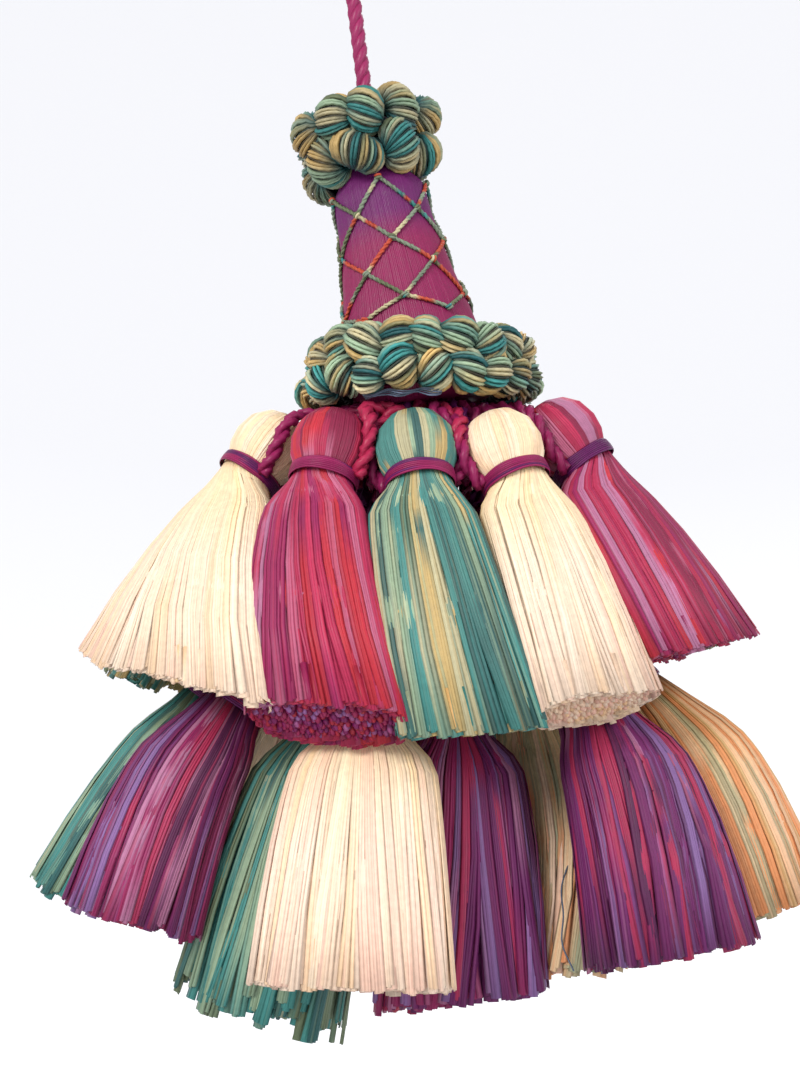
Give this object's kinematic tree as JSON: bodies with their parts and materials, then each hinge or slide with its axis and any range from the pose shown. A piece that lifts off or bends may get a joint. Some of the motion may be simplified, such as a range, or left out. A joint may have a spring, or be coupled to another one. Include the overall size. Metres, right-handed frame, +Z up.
{
  "type": "key tassel",
  "caption": "Hung tassel with a netted, yarn-wound head between two ruched ruffs, a cord with a loop above, and two tiers of small tied tassels below.",
  "frame": {"origin": "where the hanging loop bears on its hook, inside the top of the loop", "axes": "+Z up along the hanging cord, -Y towards the front that shows, +X to the right seen from the front"},
  "size_m": [0.1439, 0.0915, 0.2169],
  "materials": {
    "magenta_yarn": "satin rayon yarn and twisted cord, deep magenta with a purple sheen",
    "cream_yarn": "satin yarn, cream with pale yellow and pink streaks",
    "red_yarn": "satin yarn, crimson with magenta and lilac streaks",
    "green_yarn": "satin yarn, teal with sage, mint and olive gold streaks",
    "plum_yarn": "satin yarn, purple with magenta, crimson and lilac streaks",
    "ruff_yarn": "satin yarn wound in turns, teal, mint, sage, gold and cream",
    "net_yarn": "thin two-ply yarn, one ply green and cream, one red and orange"
  },
  "bodies": {
    "root": {"cord_bundle": "magenta_yarn", "hanging_cord": "magenta_yarn", "hanging_knot": "magenta_yarn", "hanging_loop": "magenta_yarn", "head_net": "net_yarn", "inner_cream_right_low": "cream_yarn", "inner_cream_right_low_tie": "magenta_yarn", "inner_green_front_low": "green_yarn", "inner_green_front_low_tie": "magenta_yarn", "inner_plum_front_low": "plum_yarn", "inner_plum_front_low_tie": "magenta_yarn", "lower_ruff": "ruff_yarn", "outer_cream_far_right": "cream_yarn", "outer_cream_far_right_tie": "magenta_yarn", "outer_cream_front": "cream_yarn", "outer_cream_front_tie": "magenta_yarn", "outer_cream_left_back": "cream_yarn", "outer_cream_left_back_tie": "magenta_yarn", "outer_green_back": "green_yarn", "outer_green_back_tie": "magenta_yarn", "outer_green_left": "green_yarn", "outer_green_left_tie": "magenta_yarn", "outer_plum_back": "plum_yarn", "outer_plum_back_tie": "magenta_yarn", "outer_plum_left": "plum_yarn", "outer_plum_left_tie": "magenta_yarn", "outer_plum_right": "plum_yarn", "outer_plum_right_tie": "magenta_yarn", "outer_red_right_back": "red_yarn", "outer_red_right_back_tie": "magenta_yarn", "upper_cream_back": "cream_yarn", "upper_cream_back_tie": "magenta_yarn", "upper_cream_left": "cream_yarn", "upper_cream_left_tie": "magenta_yarn", "upper_cream_right": "cream_yarn", "upper_cream_right_tie": "magenta_yarn", "upper_green_front": "green_yarn", "upper_green_front_tie": "magenta_yarn", "upper_green_left_back": "green_yarn", "upper_green_left_back_tie": "magenta_yarn", "upper_green_right_back": "green_yarn", "upper_green_right_back_tie": "magenta_yarn", "upper_red_back": "red_yarn", "upper_red_back_tie": "magenta_yarn", "upper_red_left": "red_yarn", "upper_red_left_tie": "magenta_yarn", "upper_red_right": "red_yarn", "upper_red_right_tie": "magenta_yarn", "upper_ruff": "ruff_yarn", "wound_head": "magenta_yarn"}
  },
  "joints": []
}
